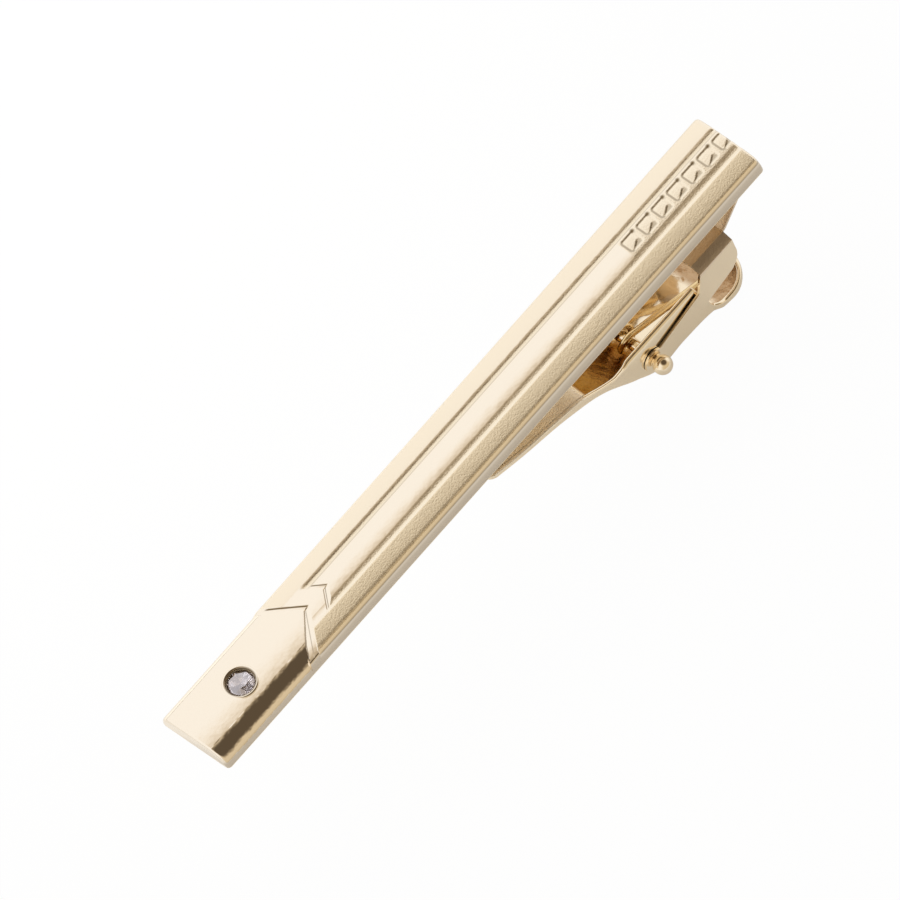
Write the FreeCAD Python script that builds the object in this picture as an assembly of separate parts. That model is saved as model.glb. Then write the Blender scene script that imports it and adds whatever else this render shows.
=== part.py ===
import FreeCAD, Part
import math
import os

# A sprung tie clip. X runs along the bar from its crystal end to its key-border end, Z is up
# through the decorated face, and Y is to the left. All lengths are millimetres. The origin is
# under the middle of the bar, level with the lowest point of the thumb tray. Depths called
# drop are measured down from the flat back of the bar.

# Front bar
BAR_LENGTH = 58.0
BAR_WIDTH = 6.5
BAR_HEIGHT = 1.45
BAR_CORNER = 0.3
SIDE_HEIGHT = 0.12
DOME_WIDTH = 3.4
DOME_DROP = 0.03
RELIEF = 0.15

# Raised chevron block at the crystal end, and the raised panel with its swallow tail
CHEVRON_REACH = 12.1
CHEVRON_SLOPE_SHARE = 0.82
CHEVRON_BEVEL = 0.36
PANEL_START = 14.8
PANEL_TOP_WIDTH = 1.78
PANEL_BEVEL = 0.36

# Key border sunk into the panel
KEY_COUNT = 7
KEY_START = 47.05
KEY_PITCH = 1.638
KEY_LENGTH = 1.5
KEY_WIDTH = 1.55
KEY_LINE = 0.15
KEY_DEPTH = 0.1
KEY_HOOK_SHARE = 0.55

# Crystal, its seat and its rim
CRYSTAL_PLACE = 5.32
CRYSTAL_DIA = 2.08
CRYSTAL_TABLE_DIA = 1.15
CRYSTAL_CROWN = 0.3
CRYSTAL_PAVILION = 0.72
CRYSTAL_STAND = 0.1
SEAT_DIA = 2.33
SEAT_DEPTH = 1.0
RIM_WIDTH = 0.25
RIM_HEIGHT = 0.06

# Sheet stock and widths of the clip
SHEET = 0.35
CLIP_WIDTH = 6.6
SIDE_CLEARANCE = 0.1

# Hinge pin, its balls and its fit in the jaw
PIN_SET = 14.1
PIN_DROP = 6.6
PIN_DIA = 0.9
PIN_CLEARANCE = 0.05
BALL_DIA = 1.5
BALL_STANDOFF = 0.6

# Bracket
FOOT_LENGTH = 1.3
FOOT_INSET = 0.1
SOLDER = 0.1
RAMP_RUN = 3.3
WEB_DROP = 2.65
WEB_LENGTH = 3.45
FACET_RUN = 0.75
FACET_DROP = 0.45
EAR_RADIUS = 1.0
ARM_RISE = 0.75
CHEEK_BACK_DROP = 4.6
CHEEK_BACK_ROUND = 0.9
CHEEK_LOW_DROP = 6.0
ARM_NECK_DROP = 4.9
ARM_NECK_SET = 0.65
ARM_LOW_SET = 1.8
ARM_LOW_DROP = 7.05
BOX_LOW_DROP = 6.5

# Jaw and lever
JAW_REACH = 15.9
JAW_TIP_GAP = 0.06
JAW_TIP_THICK = 0.4
JAW_TIP_ROUND = 0.8
JAW_TEETH = 4
JAW_TOOTH_DIA = 0.7
POCKET_REACH = 9.8
JAW_NECK_START = 3.7
JAW_NECK_END = 1.7
WALL_RISE = 2.04
WALL_END = 5.3
FLOOR = 0.35
LEVER_REACH = 10.15
LEVER_DROP = 2.5
TRAY_START = 6.0
TRAY_FLARE = 0.5
TRAY_RIM_DROP = 1.35
TRAY_RIM = 0.7
TRAY_LIFT = 0.3
TRAY_ROUND = 2.6

# The jaw's upper edge and belly, as shares of its reach from the tip to the pin and of the pin's
# drop, and then the lever's belly, as shares of its reach and drop from the pin
JAW_EDGE_SHARES = ((0.2, 0.156), (0.447, 0.285), (0.591, 0.377), (0.723, 0.55))
JAW_EDGE_END_SHARE = 0.85
JAW_BELLY_SHARES = ((0.189, 0.215), (0.503, 0.43), (0.726, 0.69), (0.88, 1.06), (0.98, 1.25))
LEVER_BELLY_SHARES = ((0.276, 0.7), (0.5, 0.76), (0.68, 0.92), (0.84, 1.0))

# Torsion spring
WIRE_DIA = 0.5
COIL_DIA = 1.7
COIL_PITCH = 1.2
COIL_FULL_TURNS = 2
COIL_SIDE_GAP = 0.22
WEB_LEG = 7.9
WEB_LEG_ANGLE = -59.0
LEVER_LEG = 7.0
LEVER_LEG_ANGLE = 70.0
QUARTER_STEPS = 4
GAP_SAMPLES = 24

# One overrun for every cut
OVERRUN = 1.0

# Places worked out from the sizes above
BACK_Z = PIN_DROP + LEVER_DROP
CROWN_Z = BACK_Z + BAR_HEIGHT
BAR_START = -BAR_LENGTH / 2
BAR_END = BAR_LENGTH / 2
PIN_PLACE = BAR_END - PIN_SET
PIN_Z = BACK_Z - PIN_DROP
CHEEK_OUT = CLIP_WIDTH / 2
CHEEK_IN = CHEEK_OUT - SHEET
WALL_OUT = CHEEK_IN - SIDE_CLEARANCE
JAW_TIP = PIN_PLACE - JAW_REACH
LEVER_END = PIN_PLACE + LEVER_REACH
FOOT_END = BAR_END - FOOT_INSET
FOOT_START = FOOT_END - FOOT_LENGTH
WEB_END = FOOT_START - RAMP_RUN
WEB_START = WEB_END - WEB_LENGTH


def side_point(x, drop):
    """A point at a place along the bar and a drop below its back."""
    return FreeCAD.Vector(x, 0, BACK_Z - drop)


def line(start, end):
    """A straight edge between two points."""
    return Part.LineSegment(start, end).toShape()


def curve(points):
    """A smooth edge through a few points."""
    spline = Part.BSplineCurve()
    spline.interpolate(points)
    return spline.toShape()


def polygon_edges(points):
    """Straight edges through a list of points, left open at the end."""
    return [line(start, end) for start, end in zip(points, points[1:])]


def across(edges, half_width):
    """A closed outline in the side view, made solid across the clip's width."""
    face = Part.Face(Part.Wire(edges))
    face.translate(FreeCAD.Vector(0, -half_width, 0))
    return face.extrude(FreeCAD.Vector(0, 2 * half_width, 0))


def upright_cylinder(dia, height, x, z):
    """A cylinder that stands on the bar's middle line."""
    return Part.makeCylinder(dia / 2, height, FreeCAD.Vector(x, 0, z))


def cross_cylinder(dia, start_y, end_y):
    """A cylinder along the pin's axis between two places across the clip."""
    base = FreeCAD.Vector(PIN_PLACE, start_y, PIN_Z)
    return Part.makeCylinder(dia / 2, end_y - start_y, base, FreeCAD.Vector(0, 1, 0))


def bar_section(crown_drop):
    """The bar's section: flat back, short upright sides, round shoulders and a shallow dome."""
    half = BAR_WIDTH / 2
    dome = DOME_WIDTH / 2
    side_z = BACK_Z + SIDE_HEIGHT
    dome_z = CROWN_Z - crown_drop - DOME_DROP
    bend = math.sqrt(1 / 2)

    def place(y, z):
        return FreeCAD.Vector(BAR_START, y, z)

    def shoulder(sign):
        middle_y = sign * (dome + (half - dome) * bend)
        middle_z = side_z + (dome_z - side_z) * bend
        return Part.Arc(
            place(sign * half, side_z), place(middle_y, middle_z), place(sign * dome, dome_z)
        ).toShape()

    crown = Part.Arc(
        place(dome, dome_z), place(0, CROWN_Z - crown_drop), place(-dome, dome_z)
    ).toShape()
    edges = [
        line(place(-half, BACK_Z), place(half, BACK_Z)),
        line(place(half, BACK_Z), place(half, side_z)),
        shoulder(1),
        crown,
        shoulder(-1),
        line(place(-half, side_z), place(-half, BACK_Z)),
    ]
    return Part.Face(Part.Wire(Part.sortEdges(edges)[0]))


def bar_plan():
    """The bar in plan: a long strip with slightly rounded corners, as a tall prism."""
    height = CROWN_Z - BACK_Z + 2 * OVERRUN
    corner = FreeCAD.Vector(BAR_START, -BAR_WIDTH / 2, BACK_Z - OVERRUN)
    block = Part.makeBox(BAR_LENGTH, BAR_WIDTH, height, corner)
    upright = [edge for edge in block.Edges if edge.BoundBox.ZLength > OVERRUN]
    return block.makeFillet(BAR_CORNER, upright)


def bevelled_plate(outline, bevel):
    """A plate on the crown whose walls slope outwards by one bevel for each relief of depth."""
    low = [FreeCAD.Vector(x, y, CROWN_Z - 2 * RELIEF) for x, y in outline(2 * bevel)]
    top = [FreeCAD.Vector(x, y, CROWN_Z + RELIEF / 2) for x, y in outline(-bevel / 2)]
    wires = [Part.makePolygon(points + points[:1]) for points in (low, top)]
    return Part.makeLoft(wires, True, True)


def chevron_outline(grow):
    """The crystal end's block in plan: square to the bar's end, with a chevron towards the middle."""
    half = BAR_WIDTH
    apex = BAR_START + CHEVRON_REACH + grow
    arm = apex - half * CHEVRON_SLOPE_SHARE
    start = BAR_START - OVERRUN
    return [(start, -half), (arm, -half), (apex, 0), (arm, half), (start, half)]


def panel_outline(grow):
    """The raised panel in plan: a long strip to the far end, with a swallow tail at its near end."""
    half = PANEL_TOP_WIDTH / 2 + grow
    notch = BAR_START + PANEL_START - grow
    tip = notch - half * CHEVRON_SLOPE_SHARE
    end = BAR_END + OVERRUN
    return [(end, -half), (tip, -half), (notch, 0), (tip, half), (end, half)]


def key_lines():
    """The sunk lines of the key border: each tile has a long side, a near side and a hook."""
    floor_z = CROWN_Z - KEY_DEPTH
    height = KEY_DEPTH + OVERRUN
    half = KEY_WIDTH / 2
    hook_x = KEY_LENGTH * KEY_HOOK_SHARE
    hook_y = KEY_WIDTH * KEY_HOOK_SHARE
    cuts = []
    for index in range(KEY_COUNT):
        x = BAR_START + KEY_START + index * KEY_PITCH
        runs = (
            (x, half - KEY_LINE, KEY_LENGTH, KEY_LINE),
            (x, -half, KEY_LINE, KEY_WIDTH),
            (x, -half, hook_x, KEY_LINE),
            (x + hook_x - KEY_LINE, -half, KEY_LINE, hook_y),
        )
        for start_x, start_y, length, width in runs:
            corner = FreeCAD.Vector(start_x, start_y, floor_z)
            cuts.append(Part.makeBox(length, width, height, corner))
    return cuts


def front_bar():
    """The bar: a domed strip with the chevron block, the panel, the key border and the seat."""
    length = FreeCAD.Vector(BAR_LENGTH, 0, 0)
    base = bar_section(RELIEF).extrude(length)
    full = bar_section(0).extrude(length)
    block = full.common(bevelled_plate(chevron_outline, CHEVRON_BEVEL))
    panel = full.common(bevelled_plate(panel_outline, PANEL_BEVEL))
    crystal_x = BAR_START + CRYSTAL_PLACE
    rim_dia = SEAT_DIA + 2 * RIM_WIDTH
    rim = upright_cylinder(rim_dia, BAR_HEIGHT / 2 + RIM_HEIGHT, crystal_x, CROWN_Z - BAR_HEIGHT / 2)
    body = base.fuse([block, panel, rim]).removeSplitter()
    seat = upright_cylinder(SEAT_DIA, SEAT_DEPTH + OVERRUN, crystal_x, CROWN_Z - SEAT_DEPTH)
    return body.cut([seat] + key_lines()).common(bar_plan())


def crystal():
    """The stone: a flat table, a sloped crown, a sharp girdle and a pointed pavilion, turned round."""
    x = BAR_START + CRYSTAL_PLACE
    top_z = CROWN_Z + CRYSTAL_STAND
    girdle_z = top_z - CRYSTAL_CROWN
    profile = [
        FreeCAD.Vector(x, 0, girdle_z - CRYSTAL_PAVILION),
        FreeCAD.Vector(x + CRYSTAL_DIA / 2, 0, girdle_z),
        FreeCAD.Vector(x + CRYSTAL_TABLE_DIA / 2, 0, top_z),
        FreeCAD.Vector(x, 0, top_z),
    ]
    face = Part.Face(Part.makePolygon(profile + profile[:1]))
    return face.revolve(FreeCAD.Vector(x, 0, 0), FreeCAD.Vector(0, 0, 1), 360)


def crystal_cement():
    """The cement: fills the drilled seat below the stone's girdle."""
    x = BAR_START + CRYSTAL_PLACE
    floor_z = CROWN_Z - SEAT_DEPTH
    girdle_z = CROWN_Z + CRYSTAL_STAND - CRYSTAL_CROWN
    return upright_cylinder(SEAT_DIA, girdle_z - floor_z, x, floor_z).cut(crystal())


def roof_section(inset):
    """The bracket's section: a flat web, a sloped facet at each side and upright cheeks."""
    tilt = math.atan2(FACET_DROP, FACET_RUN)
    out = CHEEK_OUT - inset
    top_z = BACK_Z - WEB_DROP
    low_z = -OVERRUN - inset
    edge_z = top_z - FACET_DROP - inset * math.tan(math.pi / 4 - tilt / 2)
    edge_y = CHEEK_OUT - FACET_RUN - inset * math.tan(tilt / 2)
    half = [(out, low_z), (out, edge_z), (edge_y, top_z - inset)]
    points = half + [(-y, z) for y, z in reversed(half)]
    vectors = [FreeCAD.Vector(PIN_PLACE - CHEEK_OUT, y, z) for y, z in points]
    return Part.Face(Part.makePolygon(vectors + vectors[:1]))


def cheek_outline():
    """A cheek in the side view: the box under the web, and the arm down to the ear on the pin."""
    lean = math.asin(ARM_RISE / EAR_RADIUS)
    ear_top = side_point(PIN_PLACE + EAR_RADIUS * math.cos(lean), PIN_DROP - ARM_RISE)
    ear_left = side_point(PIN_PLACE - EAR_RADIUS, PIN_DROP)
    ear_low = side_point(PIN_PLACE, PIN_DROP + EAR_RADIUS)
    back_top = side_point(WEB_END, WEB_DROP)
    back = side_point(WEB_END, CHEEK_BACK_DROP)
    turn = math.sqrt(1 / 2)
    back_middle = side_point(
        WEB_END - CHEEK_BACK_ROUND * (1 - turn),
        CHEEK_BACK_DROP + (CHEEK_LOW_DROP - CHEEK_BACK_DROP) * turn,
    )
    back_low = side_point(WEB_END - CHEEK_BACK_ROUND, CHEEK_LOW_DROP)
    box_low = side_point(WEB_START, BOX_LOW_DROP)
    arm_low = side_point(WEB_START - ARM_LOW_SET, ARM_LOW_DROP)
    arm_neck = side_point(WEB_START - ARM_NECK_SET, ARM_NECK_DROP)
    web_start = side_point(WEB_START, WEB_DROP)
    edges = polygon_edges([ear_low, arm_low, box_low, back_low])
    edges.append(Part.Arc(back_low, back_middle, back).toShape())
    edges += polygon_edges([back, back_top, web_start, arm_neck, ear_top])
    edges.append(Part.Arc(ear_top, ear_left, ear_low).toShape())
    return edges


def clip_bracket():
    """The bracket: a folded roof cut to the cheeks' outline, with a ramp up to its soldered foot."""
    length = FreeCAD.Vector(WEB_END + OVERRUN - (PIN_PLACE - CHEEK_OUT), 0, 0)
    roof = roof_section(0).extrude(length).cut(roof_section(SHEET).extrude(length))
    cheeks = roof.common(across(cheek_outline(), CHEEK_OUT + OVERRUN))
    half = CHEEK_OUT - FACET_RUN
    slope = math.hypot(RAMP_RUN, WEB_DROP - SOLDER) / RAMP_RUN
    strip = polygon_edges([
        side_point(WEB_END - SHEET, WEB_DROP),
        side_point(WEB_END, WEB_DROP),
        side_point(FOOT_START, SOLDER),
        side_point(FOOT_END, SOLDER),
        side_point(FOOT_END, SOLDER + SHEET),
        side_point(FOOT_START, SOLDER + SHEET * slope),
        side_point(WEB_END, WEB_DROP + SHEET),
        side_point(WEB_END - SHEET, WEB_DROP + SHEET),
        side_point(WEB_END - SHEET, WEB_DROP),
    ])
    bracket = cheeks.fuse(across(strip, half)).removeSplitter()
    return bracket.cut(cross_cylinder(PIN_DIA, -CHEEK_OUT - OVERRUN, CHEEK_OUT + OVERRUN))


def bracket_solder():
    """The solder: a thin pad between the foot and the bar's back."""
    half = CHEEK_OUT - FACET_RUN
    corner = FreeCAD.Vector(FOOT_START, -half, BACK_Z - SOLDER)
    return Part.makeBox(FOOT_LENGTH, 2 * half, SOLDER, corner)


def hinge_pin():
    """The pin: a plain rod that ends at the middle of each ball."""
    reach = CHEEK_OUT + BALL_STANDOFF
    return cross_cylinder(PIN_DIA, -reach, reach)


def pin_ball(side):
    """A ball head: flat where it seats on the ear, bored for the pin's end."""
    centre = FreeCAD.Vector(PIN_PLACE, side * (CHEEK_OUT + BALL_STANDOFF), PIN_Z)
    ball = Part.makeSphere(BALL_DIA / 2, centre)
    reach = CHEEK_OUT + BALL_STANDOFF
    inside = cross_cylinder(2 * BALL_DIA, -CHEEK_OUT, CHEEK_OUT)
    return ball.cut([inside, cross_cylinder(PIN_DIA, -reach, reach)])


def jaw_belly(lift):
    """The jaw's underside in the side view, from the tip to the lowest part of the tray."""
    points = [side_point(JAW_TIP, JAW_TIP_GAP + JAW_TIP_THICK - lift)]
    for along, down in JAW_BELLY_SHARES:
        points.append(side_point(JAW_TIP + along * JAW_REACH, down * PIN_DROP - lift))
    for along, down in LEVER_BELLY_SHARES:
        points.append(side_point(PIN_PLACE + along * LEVER_REACH, PIN_DROP + down * LEVER_DROP - lift))
    return points


def jaw_side_outline():
    """The jaw in the side view: its upper edge, the wall's end, the tray's rim and the belly."""
    low = PIN_DROP + LEVER_DROP
    top = PIN_DROP - WALL_RISE
    edge = [side_point(JAW_TIP, JAW_TIP_GAP)]
    for along, down in JAW_EDGE_SHARES:
        edge.append(side_point(JAW_TIP + along * JAW_REACH, down * PIN_DROP))
    edge.append(side_point(JAW_TIP + JAW_EDGE_END_SHARE * JAW_REACH, top))
    belly = jaw_belly(0)
    rest = [
        edge[-1],
        side_point(PIN_PLACE + WALL_END, top),
        side_point(PIN_PLACE + TRAY_START, PIN_DROP + TRAY_RIM_DROP),
        side_point(PIN_PLACE + TRAY_START + 2 * TRAY_FLARE, low - TRAY_RIM),
        side_point(LEVER_END, low - TRAY_RIM),
        side_point(LEVER_END, low - TRAY_LIFT),
        belly[-1],
    ]
    return [curve(edge)] + polygon_edges(rest) + [curve(belly[::-1]), line(belly[0], edge[0])]


def jaw_plan_outline(inset):
    """The jaw in plan: a wide tongue, a neck between the cheeks and a round-ended thumb tray."""
    wide = CHEEK_OUT - inset
    neck = WALL_OUT - inset
    tip = JAW_TIP + inset
    end = LEVER_END - inset
    tip_round = JAW_TIP_ROUND - inset
    end_round = TRAY_ROUND - inset
    turn = math.sqrt(1 / 2)
    base_z = -OVERRUN

    def place(x, y):
        return FreeCAD.Vector(x, y, base_z)

    def half(sign):
        tip_corner = Part.Arc(
            place(tip, sign * (wide - tip_round)),
            place(tip + tip_round * (1 - turn), sign * (wide - tip_round * (1 - turn))),
            place(tip + tip_round, sign * wide),
        ).toShape()
        sides = polygon_edges([
            place(tip + tip_round, sign * wide),
            place(PIN_PLACE - JAW_NECK_START, sign * wide),
            place(PIN_PLACE - JAW_NECK_END, sign * neck),
            place(PIN_PLACE + TRAY_START, sign * neck),
            place(PIN_PLACE + TRAY_START + TRAY_FLARE, sign * wide),
            place(end - end_round, sign * wide),
        ])
        end_corner = Part.Arc(
            place(end - end_round, sign * wide),
            place(end - end_round * (1 - turn), sign * (wide - end_round * (1 - turn))),
            place(end, sign * (wide - end_round)),
        ).toShape()
        return [tip_corner] + sides + [end_corner]

    edges = half(1) + half(-1)
    edges.append(line(place(tip, tip_round - wide), place(tip, wide - tip_round)))
    edges.append(line(place(end, end_round - wide), place(end, wide - end_round)))
    face = Part.Face(Part.Wire(Part.sortEdges(edges)[0]))
    return face.extrude(FreeCAD.Vector(0, 0, CROWN_Z + 2 * OVERRUN))


def jaw_pocket():
    """The hollow of the channel and tray: above the floor, from the tongue's end to the tray's rim."""
    floor = jaw_belly(FLOOR)
    last = side_point(LEVER_END + OVERRUN, PIN_DROP + LEVER_DROP - FLOOR)
    roof_start = side_point(JAW_TIP, -OVERRUN)
    roof_end = side_point(LEVER_END + OVERRUN, -OVERRUN)
    edges = [curve(floor)] + polygon_edges([floor[-1], last, roof_end, roof_start, floor[0]])
    hollow = across(edges, CHEEK_OUT).common(jaw_plan_outline(SHEET))
    start = JAW_TIP + POCKET_REACH
    keep = Part.makeBox(
        LEVER_END + OVERRUN - start, 2 * CLIP_WIDTH, CROWN_Z + 2 * OVERRUN,
        FreeCAD.Vector(start, -CLIP_WIDTH, -OVERRUN),
    )
    return hollow.common(keep)


def jaw_tooth_gaps():
    """The scallops between the teeth along the jaw's tip."""
    pitch = (CLIP_WIDTH - 2 * JAW_TIP_ROUND) / JAW_TEETH
    height = JAW_TIP_THICK + 2 * OVERRUN
    low_z = BACK_Z - JAW_TIP_GAP - JAW_TIP_THICK - OVERRUN
    gaps = []
    for index in range(JAW_TEETH):
        y = (index - (JAW_TEETH - 1) / 2) * pitch
        gaps.append(Part.makeCylinder(JAW_TOOTH_DIA / 2, height, FreeCAD.Vector(JAW_TIP, y, low_z)))
    return gaps


def jaw_lever():
    """The jaw: one folded sheet from the toothed tongue, past the pin, to the thumb tray."""
    blank = across(jaw_side_outline(), CHEEK_OUT + OVERRUN).common(jaw_plan_outline(0))
    hole = cross_cylinder(PIN_DIA + 2 * PIN_CLEARANCE, -CHEEK_OUT, CHEEK_OUT)
    return blank.cut([jaw_pocket(), hole] + jaw_tooth_gaps()).removeSplitter()


def biarc(start, start_way, end, end_way):
    """Two arcs that join two points and leave and reach them along two given directions."""
    span = end - start
    ways = start_way + end_way
    square = 2 * (start_way.dot(end_way) - 1)
    middle = -2 * span.dot(ways)
    length = span.dot(span)
    reach = (-middle - math.sqrt(middle ** 2 - 4 * square * length)) / (2 * square)
    first_apex = start + start_way * reach
    last_apex = end - end_way * reach
    joint = (first_apex + last_apex) / 2
    edges = []
    for low, apex, high in ((start, first_apex, joint), (joint, last_apex, end)):
        centre = (low + high) / 2
        cosine = (centre - low).Length / reach
        bulge = centre + (apex - centre) * (cosine / (1 + cosine))
        edges.append(Part.Arc(low, bulge, high).toShape())
    return edges


def spring_path():
    """The spring's centre line: the web's leg, the turns about the pin and the lever's leg."""
    radius = COIL_DIA / 2
    first = math.radians(WEB_LEG_ANGLE)
    sweep = 2 * math.pi * COIL_FULL_TURNS + first + 2 * math.pi - math.radians(LEVER_LEG_ANGLE)
    steps = round(QUARTER_STEPS * sweep / (2 * math.pi))
    step = sweep / steps
    advance = COIL_PITCH * step / (2 * math.pi)
    far_place = WALL_OUT - SHEET - COIL_SIDE_GAP - WIRE_DIA / 2

    def station(index):
        angle = first - index * step
        eased = min(max(index - 1 / 2, 0), steps - 1)
        place_x = PIN_PLACE + radius * math.cos(angle)
        place_z = PIN_Z + radius * math.sin(angle)
        place = FreeCAD.Vector(place_x, far_place - advance * eased, place_z)
        inner = 0 < index < steps
        way = FreeCAD.Vector(radius * math.sin(angle), -advance / step * inner, -radius * math.cos(angle))
        return place, way.normalize()

    stations = [station(index) for index in range(steps + 1)]
    place, way = stations[0]
    edges = [line(place - way * WEB_LEG, place)]
    for (start, start_way), (end, end_way) in zip(stations, stations[1:]):
        edges += biarc(start, start_way, end, end_way)
    place, way = stations[-1]
    edges.append(line(place, place + way * LEVER_LEG))
    return edges


def least_gap(edges):
    """The least clear distance between stretches of the wire that lie over half a turn apart."""
    points = []
    along = []
    travelled = 0
    for edge in edges:
        for point in edge.discretize(GAP_SAMPLES)[:-1]:
            if points:
                travelled += (point - points[-1]).Length
            points.append(point)
            along.append(travelled)
    apart = COIL_DIA * math.pi / 2
    pairs = (
        (points[low] - points[high]).Length
        for low in range(len(points))
        for high in range(low)
        if along[low] - along[high] > apart
    )
    return min(pairs) - WIRE_DIA


def torsion_spring():
    """The spring: one round wire along its centre line."""
    edges = spring_path()
    print("torsion_spring least gap to itself, mm:", round(least_gap(edges), 3))
    path = Part.Wire(edges)
    start = edges[0].valueAt(edges[0].FirstParameter)
    way = edges[0].tangentAt(edges[0].FirstParameter)
    section = Part.Wire(Part.Circle(start, way, WIRE_DIA / 2).toShape())
    return path.makePipeShell([section], True, False)


def main():
    os.makedirs("parts", exist_ok=True)
    nodes = {
        "front_bar": front_bar(),
        "crystal": crystal(),
        "crystal_cement": crystal_cement(),
        "clip_bracket": clip_bracket(),
        "bracket_solder": bracket_solder(),
        "hinge_pin": hinge_pin(),
        "pin_ball_near": pin_ball(-1),
        "pin_ball_far": pin_ball(1),
        "jaw_lever": jaw_lever(),
        "torsion_spring": torsion_spring(),
    }
    for name, shape in nodes.items():
        shape.exportStep("parts/" + name + ".step")
        box = shape.BoundBox
        print(name, len(shape.Solids), shape.isValid(), round(shape.Volume, 3),
              [round(v, 2) for v in (box.XMin, box.XMax, box.YMin, box.YMax, box.ZMin, box.ZMax)])


main()
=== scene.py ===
# %% [markdown]
# # A sprung tie clip
# The clip is a slim plated bar with a set crystal at one end and a stamped key border at the
# other. Under it hang a folded bracket, a hinge pin, a sprung jaw and its thumb tray. The packed
# solids give every piece its place. Here each piece that is seen gets a smooth surface worked out
# on a grid, and each finish gets a material that is drawn by nodes.

# %% Load the frame
import bmesh
import bpy
import numpy as np
from mathutils import Matrix, Vector


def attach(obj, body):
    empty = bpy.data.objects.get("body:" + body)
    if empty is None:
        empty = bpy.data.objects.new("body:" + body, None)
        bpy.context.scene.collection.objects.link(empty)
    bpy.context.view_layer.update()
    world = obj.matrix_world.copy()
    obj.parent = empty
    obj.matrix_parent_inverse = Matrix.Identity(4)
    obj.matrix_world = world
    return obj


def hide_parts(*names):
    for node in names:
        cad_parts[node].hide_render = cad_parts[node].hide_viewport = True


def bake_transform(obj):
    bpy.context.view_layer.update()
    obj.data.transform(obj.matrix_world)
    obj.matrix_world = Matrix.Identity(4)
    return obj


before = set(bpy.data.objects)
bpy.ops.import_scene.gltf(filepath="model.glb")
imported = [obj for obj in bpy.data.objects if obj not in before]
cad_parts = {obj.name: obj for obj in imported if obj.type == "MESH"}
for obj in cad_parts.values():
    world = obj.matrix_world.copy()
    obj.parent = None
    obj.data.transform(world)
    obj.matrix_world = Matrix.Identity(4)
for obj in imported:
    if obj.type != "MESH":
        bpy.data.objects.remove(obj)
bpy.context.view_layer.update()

MM = 0.001

# %% [markdown]
# ## From numbers to meshes
# Every surface below is a grid of points, in millimetres: one parameter runs along the piece and
# the other across it. A grid could be typed in as vertices, but a formula is shorter and stays
# smooth at any density. The helpers list a grid's faces, close it into a tube, cap the tube's ends
# and make a mesh of it.

# %% Grid to mesh
MERGE_REACH = 0.001


def grid_faces(rows, columns, closed):
    """Corners of the quads between neighbouring rows and columns; a closed grid's last column meets its first."""
    grid = np.arange(rows * columns).reshape(rows, columns)
    grid = np.hstack([grid, grid[:, :closed]])
    return np.stack([grid[:-1, :-1], grid[:-1, 1:], grid[1:, 1:], grid[1:, :-1]], axis=-1).reshape(-1, 4)


def tube_faces(points, capped):
    """Quads between the closed rings of a tube's points and, if it is capped, one face over each end."""
    rings, steps = points.shape[:2]
    caps = [list(range(steps)), list(range(rings * steps - 1, (rings - 1) * steps - 1, -1))]
    return list(grid_faces(rings, steps, True)) + caps * capped


def mesh_piece(name, points, faces):
    """A new object with its place in its mesh: points are in millimetres, faces are lists of corners."""
    mesh = bpy.data.meshes.new(name)
    places = np.asarray(points, float).reshape(-1, 3) * MM
    mesh.from_pydata(places.tolist(), [], [list(map(int, face)) for face in faces])
    mesh.validate()
    mesh.update()
    mesh.shade_smooth()
    piece = bpy.data.objects.new(name, mesh)
    bpy.context.collection.objects.link(piece)
    return piece


def signed_volume(piece):
    """Volume in cubic millimetres, which is above zero when the faces point outwards."""
    shape = bmesh.new()
    shape.from_mesh(piece.data)
    volume = shape.calc_volume(signed=True) / MM ** 3
    shape.free()
    return volume


def settle(piece, body, slot, *nodes):
    """The piece rides on its body and hides the solids that it is drawn for; inside-out faces are turned.
    Its slot is not used.
    """
    if signed_volume(piece) < 0:
        piece.data.flip_normals()
    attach(piece, body)
    if nodes:
        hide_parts(*nodes)
    print(piece.name, "faces", len(piece.data.polygons), "volume mm3", round(signed_volume(piece), 2))


def close_up(piece, sharp_degrees=None):
    """Merges corners that fall on each other, points the faces of a closed shape outwards, and keeps the edges
    sharp that bend by more than an angle."""
    shape = bmesh.new()
    shape.from_mesh(piece.data)
    bmesh.ops.remove_doubles(shape, verts=shape.verts, dist=MERGE_REACH * MM)
    bmesh.ops.recalc_face_normals(shape, faces=shape.faces)
    shape.to_mesh(piece.data)
    shape.free()
    if sharp_degrees:
        piece.data.set_sharp_from_angle(angle=np.radians(sharp_degrees))


def hold_lines(places, margin):
    """Sorted places, each with a neighbour just before and after it, so that a crease stays crisp."""
    places = np.asarray(places, float)
    return np.unique(np.round(np.concatenate([places - margin, places, places + margin]), 5))


def fill_lines(places, step):
    """Sorted places with evenly spaced ones added wherever two neighbours lie further apart than the step."""
    places = np.unique(places)
    counts = np.maximum(np.ceil(np.diff(places) / step).astype(int), 1)
    runs = [np.linspace(a, b, n, endpoint=False) for a, b, n in zip(places[:-1], places[1:], counts)]
    return np.concatenate(runs + [places[-1:]])


def ramp(value, low, high):
    """0 below low, 1 above high and straight between."""
    return np.clip((value - low) / (high - low), 0, 1)


def ease(value, low, high):
    """As ramp, with a smooth start and end."""
    t = ramp(value, low, high)
    return t * t * (3 - 2 * t)


def round_in(distance, radius):
    """How far a rounded corner draws in at a distance from the end: a quarter circle."""
    return radius - np.sqrt(radius ** 2 - np.clip(radius - distance, 0, radius) ** 2)


def give_shade(piece, name, values, domain="POINT"):
    """Stores one number at each vertex, or on each face, for a material to read."""
    attribute = piece.data.attributes.new(name, "FLOAT", domain)
    attribute.data.foreach_set("value", np.asarray(values, np.float32).ravel())


# %% [markdown]
# ## Camera
# The photograph was taken from a long way off, so lines that are parallel on the clip stay parallel
# in it, and an orthographic camera fits. A perspective camera far away would do as well, but its
# lens would have to be guessed. The three directions below were worked out from the bar's edges.

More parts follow.
